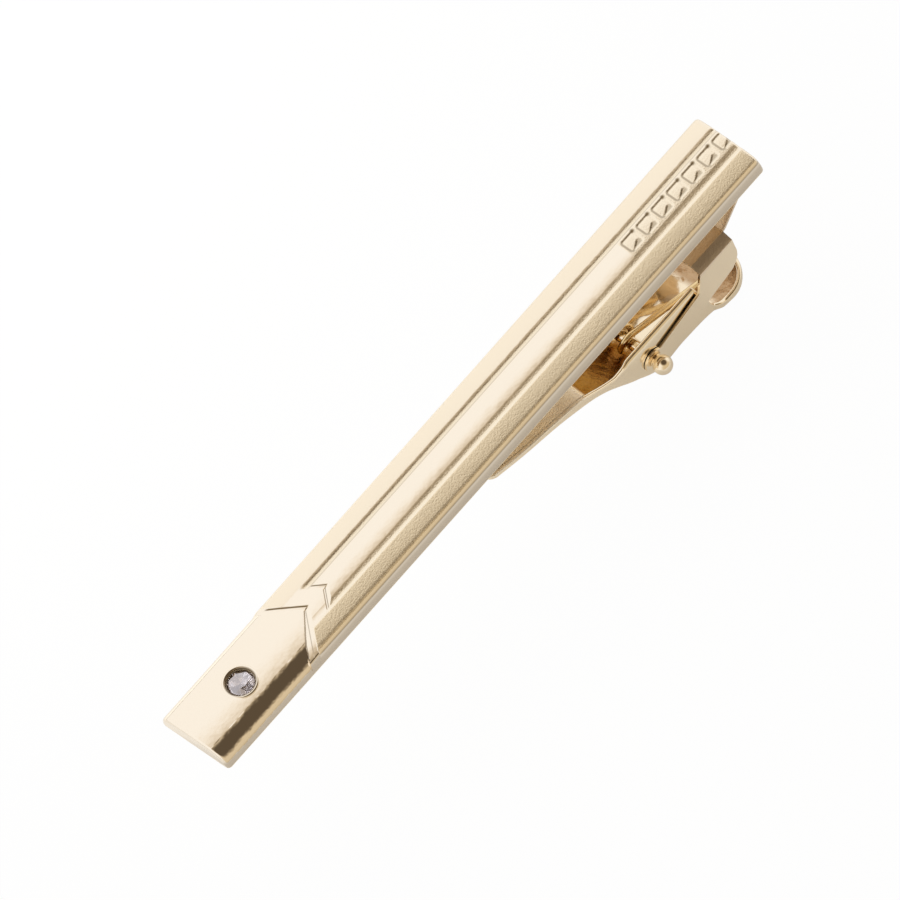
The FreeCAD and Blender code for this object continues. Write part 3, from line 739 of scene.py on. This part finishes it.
def jaw_half(x):
    """Right half of the jaw's section at each place, from the middle outwards: first below, then above.
    Below is belly, bend and outer wall, which leans in near its top; above is floor, inner bend, inner wall and rim.
    On the tongue there is no wall, and the top runs straight across."""
    outer = jaw_half_width(x, 0)[:, None]
    inner = np.minimum(jaw_half_width(x, SHEET)[:, None], outer - 0.3)
    rim = np.where(x < JAW_RIM[-1][0], through(x, JAW_RIM), bent(x, JAW_RIM_REST, 0.12))
    rim = BAR_BACK_Z - rim[:, None]
    belly = BAR_BACK_Z - np.minimum(through(x, JAW_BELLY), BAR_BACK_Z)[:, None]
    in_pocket = ((x > POCKET_START) & (x < JAW_END - SHEET))[:, None]
    floor_z = np.where(in_pocket, np.minimum(belly + SHEET, rim), rim)
    deep = ramp(rim - floor_z, 0, 0.3)
    bend = np.minimum(BEND, 0.2 * (rim - belly))
    edge = np.minimum(RIM_EDGE, 0.25 * (rim - belly))
    lean = WALL_LEAN * (ramp(x, 11.5, 13.0) * ramp(x, 20.9, 20.3))[:, None]
    wall_z = belly + bend + WALL_STEPS * (rim - edge - belly - bend)
    wall_y = outer - lean * ramp(wall_z, rim - LEAN_HEIGHT, rim) ** 2
    below_y = np.hstack([SPREAD * (outer - bend), outer - bend + bend * np.sin(BEND_TURN), wall_y])
    below_z = np.hstack([belly + 0 * SPREAD, belly + bend * (1 - np.cos(BEND_TURN)), wall_z])
    inner_bend = np.minimum(BEND - SHEET, 0.6 * (rim - floor_z)) + 0.02
    half_rim = (outer - inner) / 2
    rim_drop = edge * np.where(RIM_SWING > np.pi / 2, deep, 1.0) * (1 - np.sin(RIM_SWING))
    foot_z = np.minimum(floor_z + inner_bend * (1 - np.cos(INNER_TURN)), rim)
    inner_z = foot_z[:, -1:] + INNER_STEPS * (rim - edge * deep - foot_z[:, -1:])
    above_y = np.hstack([SPREAD * (inner - inner_bend), inner - inner_bend + inner_bend * np.sin(INNER_TURN),
                         inner - lean * INNER_STEPS, inner + half_rim * (1 + np.cos(RIM_SWING)) - lean])
    above_z = np.hstack([floor_z + 0 * SPREAD, foot_z, inner_z, rim - rim_drop])
    return below_y, below_z, above_y, above_z


def jaw_lines():
    """Places along the jaw: its turning points with close neighbours, then even steps."""
    creases = hold_lines([POCKET_START, JAW_END - SHEET], 0.03)
    tight = np.concatenate([np.arange(20.0, 22.0, 0.06), np.linspace(JAW_TIP, 0.2, 14), np.arange(24.2, 24.66, 0.06)])
    return fill_lines(np.concatenate([creases, tight, [24.8, 24.9, 24.97, 25.02, JAW_END]]), 0.25)


x = jaw_lines()
below_y, below_z, above_y, above_z = jaw_half(x)
loop_y = np.hstack([below_y, above_y[:, ::-1], -above_y[:, 1:], -below_y[:, :0:-1]])
loop_z = np.hstack([below_z, above_z[:, ::-1], above_z[:, 1:], below_z[:, :0:-1]])
from_gap = np.abs(loop_y[..., None] - TOOTH_GAPS)
notch = np.sqrt(np.clip(TOOTH_GAP_RADIUS ** 2 - from_gap ** 2, 0, None)).sum(axis=-1)
loop_x = x[:, None] + notch * ramp(x, JAW_TIP + 0.9, JAW_TIP)[:, None]
jaw_points = np.stack([loop_x, loop_y, loop_z], axis=-1)
rows, columns = loop_x.shape
half_count = below_y.shape[1]


def ladder_cap(first, count):
    """Quads that close one end of the loop, from its lower line to its upper line, on both halves."""
    i, total = np.arange(count - 1), 4 * count - 2
    upper = 2 * count - 1 - i
    right = np.stack([i, i + 1, upper - 1, upper], -1)
    left_low = (total - i) % total
    left_high = 2 * count - 1 + i
    left = np.stack([left_low, left_high, left_high + 1, total - i - 1], -1)
    return list(first + np.concatenate([right, left]))


jaw_caps = ladder_cap(0, half_count) + ladder_cap((rows - 1) * columns, half_count)
jaw = mesh_piece("jaw_and_tray", jaw_points, list(grid_faces(rows, columns, True)) + jaw_caps)
upper_line = np.abs(np.arange(1 - half_count, half_count))
below = (half_count, half_count - 1)
above = np.pad(np.ones(len(upper_line)), below)
inside = np.pad(1.0 * (upper_line < half_count - len(RIM_SWING)), below)
# Painted shade: inside the pocket, and less inside the tray, the colour darkens towards the clip's shade colour.
in_pocket = ramp(x, POCKET_START, POCKET_START + 0.1) * ramp(x, 16.0, 14.5)
deep = inside * np.maximum(in_pocket, TRAY_SHADE * ramp(x, 21.0, 21.6))[:, None]
# Painted highlight: the tongue's top takes the clip's paler satin colour, over its satin finish.
on_tongue = above * ramp(x, POCKET_START, POCKET_START - 0.2)[:, None]
give_shade(jaw, "painted_shade", deep)
give_shade(jaw, "worn", POCKET_WEAR * deep)
give_shade(jaw, "satin", np.maximum(POCKET_SATIN * deep, on_tongue))
close_up(jaw, 45)
settle(jaw, "jaw", "gold_plate_clip", "jaw_lever")

# %% [markdown]
# ## The bracket
# The bracket is a second folded strip: a foot soldered to the bar, a ramp down from it, a flat web
# with a sloped facet at each side, and two cheeks whose long arms end in round ears on the pin. A
# folded strip is best drawn as a folded strip: the outside surface is laid out as a few grids that
# share their edges, and Solidify then gives it the sheet's thickness, all to the inside.

# %% Bracket outlines
PIN_X, PIN_DROP = 14.9, 6.6
EAR_RADIUS = 1.0
BRACKET_SHEET = 0.2
WEB_DROP = 2.65
FACET_RUN, FACET_DROP = 0.75, 0.45
CHEEK_TOP = WEB_DROP + FACET_DROP
WEB_START, WEB_END = 20.85, 24.3
CHEEK_UPPER = [(15.56, 5.85), (20.15, 4.93), (WEB_START, CHEEK_TOP), (WEB_END, CHEEK_TOP)]
CHEEK_LOWER = [(PIN_X, 7.6), (19.05, 7.05), (WEB_START, 6.5), (23.4, 6.0), (23.9, 5.62), (24.2, 5.12), (WEB_END, 4.6)]
RAMP = [(WEB_END, WEB_DROP), (27.6, 0.1), (28.9, 0.1)]
ROOF_SATIN_AND_SHEEN, ROOF_SHADE = 0.8, 0.35


def cheek_drops(x):
    """Upper and lower outline of a cheek: the ear's circle near the pin, then straight runs with eased corners."""
    bulge = np.sqrt(np.clip(EAR_RADIUS ** 2 - (x - PIN_X) ** 2, 0, None))
    upper = np.where(x < CHEEK_UPPER[0][0], PIN_DROP - bulge, bent(x, CHEEK_UPPER, 0.1))
    upper = np.where(x >= WEB_START - 0.001, CHEEK_TOP, upper)
    lower = np.where(x < PIN_X, PIN_DROP + bulge, bent(x, CHEEK_LOWER, 0.04))
    return upper, lower


def sheet_points(x, y, drop):
    """Three arrays of one shape as points: a drop is measured down from the bar's back."""
    return np.stack(np.broadcast_arrays(x, y, BAR_BACK_Z - drop), axis=-1)


# %% Bracket mesh
ear_x = PIN_X - EAR_RADIUS * np.cos(np.linspace(0, np.pi / 2, 14))
arm_x = fill_lines([PIN_X] + [place for place, drop in CHEEK_UPPER[:3]], 0.2)
web_x = fill_lines([WEB_START, CHEEK_LOWER[3][0], WEB_END], 0.12)
cheek_x = np.concatenate([ear_x, arm_x[1:], web_x[1:]])
upper, lower = cheek_drops(cheek_x)
down = np.linspace(0, 1, 13)
cheek = sheet_points(cheek_x[:, None], WIDE_HALF, upper[:, None] + down * (lower - upper)[:, None])
web_edge = WIDE_HALF - FACET_RUN
facet_y = np.linspace(WIDE_HALF, web_edge, 3)
web_y = np.linspace(web_edge, -web_edge, 15)
roof_y = np.concatenate([facet_y, web_y[1:-1], -facet_y[::-1]])
roof_drop = np.interp(np.abs(roof_y), [web_edge, WIDE_HALF], [WEB_DROP, CHEEK_TOP])
roof = sheet_points(web_x[:, None], roof_y, roof_drop)
ramp_x = fill_lines([place for place, drop in RAMP], 0.2)
ramp_drop = np.interp(ramp_x, *np.array(RAMP).T)
slide = sheet_points(ramp_x[:, None], web_y, ramp_drop[:, None])

grids = [cheek, cheek * np.array([1, -1, 1]), roof, slide]
bracket_points, bracket_faces, count = [], [], 0
for number, grid in enumerate(grids):
    faces = grid_faces(*grid.shape[:2], False) + count
    bracket_faces.append(faces[:, ::-1] if number == 0 else faces)
    bracket_points.append(grid.reshape(-1, 3))
    count += len(bracket_points[-1])
bracket = mesh_piece("folded_bracket", np.concatenate(bracket_points), list(np.concatenate(bracket_faces)))
close_up(bracket)
corners = np.array([vertex.co for vertex in bracket.data.vertices]) / MM
on_roof = (corners[:, 2] > BAR_BACK_Z - CHEEK_TOP - 0.01) & (corners[:, 0] > WEB_START - 0.01)
# Painted highlight: the roof takes the clip's paler satin colour, over its satin finish.
give_shade(bracket, "satin", ROOF_SATIN_AND_SHEEN * on_roof)
# Painted shade: the bracket's roof, under the bar, darkens a little.
give_shade(bracket, "painted_shade", ROOF_SHADE * on_roof)
highest = max(bracket.data.polygons, key=lambda face: face.center.z)
if highest.normal.z < 0:
    bracket.data.flip_normals()
thick = bracket.modifiers.new("sheet", "SOLIDIFY")
thick.thickness = BRACKET_SHEET * MM
thick.offset = -1
thick.use_even_offset = True
soften = bracket.modifiers.new("pressed_edges", "BEVEL")
soften.width = 0.07 * MM
soften.segments = 3
soften.limit_method = "ANGLE"
soften.angle_limit = np.radians(20)
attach(bracket, "bar")
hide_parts("clip_bracket")
print("folded_bracket faces before its thickness:", len(bracket.data.polygons))

# %% [markdown]
# ## Pin balls
# The pin's ends are upset into ball heads. A sphere primitive would float, so a profile is turned
# about the pin's axis: a flat seat on the ear, a short neck and then the ball, closed at its pole.

# %% Pin balls
BALL_RADIUS = 0.745
BALL_PLACE = 3.9
BALL_SEAT = 3.3
BALL_STEPS = 48
PIN_Z = BAR_BACK_Z - PIN_DROP
seat_angle = np.arcsin((BALL_SEAT + 0.05 - BALL_PLACE) / BALL_RADIUS)
latitude = np.linspace(seat_angle, np.pi / 2, 26)[:-1]
ball_profile = [(0.0, BALL_SEAT), (0.56, BALL_SEAT), (0.6, BALL_SEAT + 0.02)]
ball_profile += list(zip(BALL_RADIUS * np.cos(latitude), BALL_PLACE + BALL_RADIUS * np.sin(latitude)))
ball_profile += [(0.0, BALL_PLACE + BALL_RADIUS)]
for name, side in (("near", -1), ("far", 1)):
    profile = np.array(ball_profile) * np.array([1, side])
    ball_points = turned(profile, (PIN_X, 0, PIN_Z), 1, BALL_STEPS)
    ball = mesh_piece("ball_head_" + name, ball_points, tube_faces(ball_points, False))
    close_up(ball, 50)
    settle(ball, "bar", "gold_plate_clip", "pin_ball_" + name)

# %% [markdown]
# ## The torsion spring
# A wound spring sits on the pin inside the channel. One straight leg lies under the web and the
# other presses on the lever's floor, so the jaw is always pushed shut. Its centre line is a leg, a
# helix and a leg, and a small circle is carried along it.

# %% Spring
WIRE_RADIUS = 0.25
COIL_RADIUS = 0.85
COIL_FAR_Y = 2.03
COIL_PITCH = 1.2
WEB_LEG, WEB_LEG_ANGLE = 7.9, -59.0
LEVER_LEG, LEVER_LEG_ANGLE = 7.0, 70.0
COIL_TURN = np.radians(2 * 360 + WEB_LEG_ANGLE + 360 - LEVER_LEG_ANGLE)
COIL_EASE = np.radians(43)
# The wire's cut ends are slightly rounded: steps from the end, and the radius there as a share.
CUT_STEPS = np.array([0, 0.02, 0.06, 0.12])
CUT_SHARES = np.array([0.7, 0.86, 0.97, 1.0])


def spring_line():
    """The centre line: down the web's leg, round the pin with an even pitch between level ends, out the lever's leg."""
    turned_by = np.linspace(0, COIL_TURN, 260)
    angle = np.radians(WEB_LEG_ANGLE) - turned_by
    eased = np.clip(turned_by - COIL_EASE, 0, COIL_TURN - 2 * COIL_EASE)
    coil = np.stack([PIN_X + COIL_RADIUS * np.cos(angle), COIL_FAR_Y - COIL_PITCH * eased / (2 * np.pi),
                     PIN_Z + COIL_RADIUS * np.sin(angle)], axis=-1)
    ways = np.stack([np.sin(angle), 0 * angle, -np.cos(angle)], axis=-1)[[0, -1]]
    web_run, lever_run = [np.concatenate([leg - CUT_STEPS, np.linspace(leg - 0.3, 0.2, 28)])[:, None]
                          for leg in (WEB_LEG, LEVER_LEG)]
    return np.concatenate([coil[0] - ways[0] * web_run, coil, coil[-1] + ways[1] * lever_run[::-1]])


def wire(line, radius, steps):
    """A tube about a line: at each point a circle in the plane of the sideways way and its cross with the line."""
    way = np.gradient(line, axis=0)
    way = way / np.linalg.norm(way, axis=1, keepdims=True)
    first = np.cross(way, (0.0, 1.0, 0.0))
    first = first / np.linalg.norm(first, axis=1, keepdims=True)
    second = np.cross(way, first)
    angle = np.linspace(0, 2 * np.pi, steps, endpoint=False)[None, :, None]
    return line[:, None] + radius[:, None, None] * (np.cos(angle) * first[:, None] + np.sin(angle) * second[:, None])


line = spring_line()
radius = np.full(len(line), WIRE_RADIUS)
radius[:len(CUT_SHARES)] *= CUT_SHARES
radius[-len(CUT_SHARES):] *= CUT_SHARES[::-1]
WIRE_STEPS = 16
spring_points = wire(line, radius, WIRE_STEPS)
spring = mesh_piece("wound_spring", spring_points, tube_faces(spring_points, True))
close_up(spring, 60)
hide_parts("torsion_spring")
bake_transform(spring)
print("wound_spring faces", len(spring.data.polygons), "turns", round(float(COIL_TURN / (2 * np.pi)), 2))

# %% [markdown]
# ## Gold plate
# The bar is brass under a thin pale gold plate. Its block and panel were buffed, which leaves a
# mirror with a faint ripple from the wheel, and the bands beside the panel were grit-blasted to a
# satin. Two materials on two meshes would break the casting apart, so one material reads the three
# shades stored on the grid: satin turns roughness, colour and grit, the painted shade share darkens
# the colour where shade is painted into grooves, hollows and the bar's low right side, and worn makes
# the ripple coarser. The clip's sheet metal and the spring's wire are plated in the same bath, so the
# same recipe serves them with other colours and a duller polish.

# %% Gold recipe
# Shade colours for painted shade: the plate darkens towards them in grooves, hollows and other places in shade.
PAINTED_SHADE_COLOR = "#75603f"
PAINTED_SHADE_CLIP_COLOR = "#a8762c"
RIPPLE_MM = 0.9
GRIT_MM = 0.13
WORN_RIPPLE = 3.0
SATIN_SPREAD = 0.08
POLISH_SPREAD = 0.3


def noise(tree, size_mm, detail):
    """Cloudy noise from 0 to 1 in the piece's own coordinates, with swells of a size in millimetres."""
    place = add_node(tree, "ShaderNodeTexCoord")
    return add_node(tree, "ShaderNodeTexNoise", {
        "Vector": place.outputs["Object"], "Scale": 1 / (size_mm * MM), "Detail": detail}).outputs["Fac"]


def stored(tree, name):
    """A shade that was stored on the mesh; it is 0 where a mesh has none."""
    return add_node(tree, "ShaderNodeAttribute", attribute_name=name).outputs["Fac"]


def spread(tree, value, low, high):
    """A share from 0 to 1 stretched over a range."""
    return add_node(tree, "ShaderNodeMapRange", {"Value": value, "To Min": low, "To Max": high})


def gold_material(name, pale, satin_pale, shade, polish, satin_polish, ripple, grit):
    """Metal whose colour darkens to its shade colour, as painted shade, where that share is 1,
    and whose colour and roughness change where satin is 1.
    Its bump is a slow ripple everywhere, coarser where worn is high, and a fine grit on the satin; heights
    are in millimetres."""
    material, tree = empty_material(name)
    satin, painted_shade, worn = [stored(tree, shade_name) for shade_name in ("satin", "painted_shade", "worn")]
    wave, grain = noise(tree, RIPPLE_MM, 2.0), noise(tree, GRIT_MM, 3.0)
    plate = mix_colors(tree, satin, linear(pale), linear(satin_pale))
    # Painted shade: the plate's colour darkens towards the shade colour where the stored shade share is high.
    color = mix_colors(tree, painted_shade, plate, linear(shade))
    rough = add_node(tree, "ShaderNodeMix", {
        "Factor": satin,
        2: spread(tree, wave, polish * (1 - POLISH_SPREAD), polish * (1 + POLISH_SPREAD)),
        3: spread(tree, grain, satin_polish - SATIN_SPREAD, satin_polish + SATIN_SPREAD),
    }, data_type="FLOAT")
    coarser = calc(tree, "MULTIPLY_ADD", worn, WORN_RIPPLE, 1.0)
    bump = add_node(tree, "ShaderNodeBump", {
        "Strength": 1.0, "Distance": ripple * MM,
        "Height": calc(tree, "MULTIPLY", spread(tree, wave, -0.5, 0.5), coarser)})
    bump = add_node(tree, "ShaderNodeBump", {
        "Strength": 1.0, "Distance": grit * MM, "Height": calc(tree, "MULTIPLY", grain, satin), "Normal": bump})
    metal = add_node(tree, "ShaderNodeBsdfPrincipled", {
        "Base Color": color, "Metallic": 1.0, "Roughness": rough, "Normal": bump})
    add_node(tree, "ShaderNodeOutputMaterial", {"Surface": metal})
    print(name, "polish", polish, "satin", satin_polish)
    return material


def dress(piece, *materials):
    """Puts materials into a piece's slots, in place of any that it came with."""
    piece.data.materials.clear()
    for material in materials:
        piece.data.materials.append(material)


# %% Gold finishes
# Buffed pale gold plate, a mirror with a slight ripple; its satin bands scatter the light and look warmer.
gold_plate = gold_material("gold_plate_buffed_and_satin", "#fcf1e0", "#fbeacb", PAINTED_SHADE_COLOR,
                           polish=0.07, satin_polish=0.45, ripple=0.012, grit=0.03)
# Barrel-polished gold plate on sheet: a little warmer and softer, as small parts come out of the barrel.
# Its paler satin colour is a painted highlight on the jaw's tongue and the bracket's roof; its shade colour is painted
# shade in the pocket, the tray and on the roof.
clip_plate = gold_material("gold_plate_barrel_polished", "#f8e8cc", "#fdf3e2", PAINTED_SHADE_CLIP_COLOR,
                           polish=0.1, satin_polish=0.4, ripple=0.01, grit=0.02)
# Gold-washed spring wire: drawn wire with a thin warm wash, so duller still.
spring_plate = gold_material("gold_wash_drawn_wire", "#edd3a2", "#e3c48a", PAINTED_SHADE_CLIP_COLOR,
                             polish=0.2, satin_polish=0.42, ripple=0.006, grit=0.012)
dress(bar, gold_plate)
dress(rim, gold_plate)
for name in ("jaw_and_tray", "folded_bracket", "ball_head_near", "ball_head_far"):
    dress(bpy.data.objects[name], clip_plate)
dress(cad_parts["hinge_pin"], clip_plate)
dress(spring, spring_plate)

# %% [markdown]
# ## Glass, foil, cement and solder
# The stone is clear lead glass over a silvered back. Clear glass alone looks grey under a dark
# opening, so the glass also has a thin coat that mirrors part of the white tent, with a faint lilac
# cast. On its back a few facets are painted dark, as painted reflections of dark things: each facet
# stores a number, and the foil's material reads it. Under the stone lies a cup of clear cement, and
# under the bracket's foot a film of soft solder. Neither shows much, but each gets its own finish in
# case a close look reaches it.

# %% Stone, cement and solder finishes
PLAIN_BUMP = 0.005
FACET_PHASE = 2.3
FACET_RARITY = 16


def plain_material(name, color, change, size_mm, settings, shade_by=None):
    """A finish with a soft change of colour from cell to cell, at a size in millimetres, and a low bump to match.
    Where an attribute is named, the colour changes from face to face as it says."""
    material, tree = empty_material(name)
    cloud = noise(tree, size_mm, 3.0)
    share = stored(tree, shade_by) if shade_by else cloud
    bump = add_node(tree, "ShaderNodeBump", {"Strength": 0.3, "Distance": PLAIN_BUMP * MM, "Height": cloud})
    shader = add_node(tree, "ShaderNodeBsdfPrincipled", {
        "Base Color": mix_colors(tree, share, linear(color), linear(change)),
        "Normal": bump, **settings})
    add_node(tree, "ShaderNodeOutputMaterial", {"Surface": shader})
    return material


# Lead glass, cut, polished and vapour-coated: the thin coat mirrors part of the room, with a faint lilac cast.
cut_glass = plain_material("lead_glass_cut_and_coated", "#fffafd", "#f6eef5", 0.8, {
    "Roughness": 0.0, "Transmission Weight": 1.0, "Metallic": 0.42})
# Silver foil on the stone's back: a bright mirror, with a few facets painted dark as painted reflections.
foil = plain_material("silver_foil_backing", "#ffffff", "#4c3d3a", 0.3, {
    "Roughness": 0.12, "Metallic": 1.0}, "facet")
# Clear epoxy cement, poured: glossy, faintly yellow.
cement = plain_material("epoxy_cement_poured", "#cdbfa6", "#b9a98c", 0.5, {"Roughness": 0.25})
# Soft solder, flowed: dull grey metal with a slightly frosted skin.
solder = plain_material("soft_solder_flowed", "#b4b1aa", "#98948c", 0.35, {"Roughness": 0.42, "Metallic": 1.0})
dress(stone, cut_glass, foil)
number = np.arange(len(stone.data.polygons)) - len(crown_faces)
stone.data.polygons.foreach_set("material_index", (number >= 0).astype(np.int32))
# Painted reflections: a few foil facets, picked by a phase, turn dark.
give_shade(stone, "facet", np.sin(number * FACET_PHASE) ** FACET_RARITY, "FACE")
dress(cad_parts["crystal_cement"], cement)
dress(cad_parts["bracket_solder"], solder)
print("finishes:", len(bpy.data.materials))
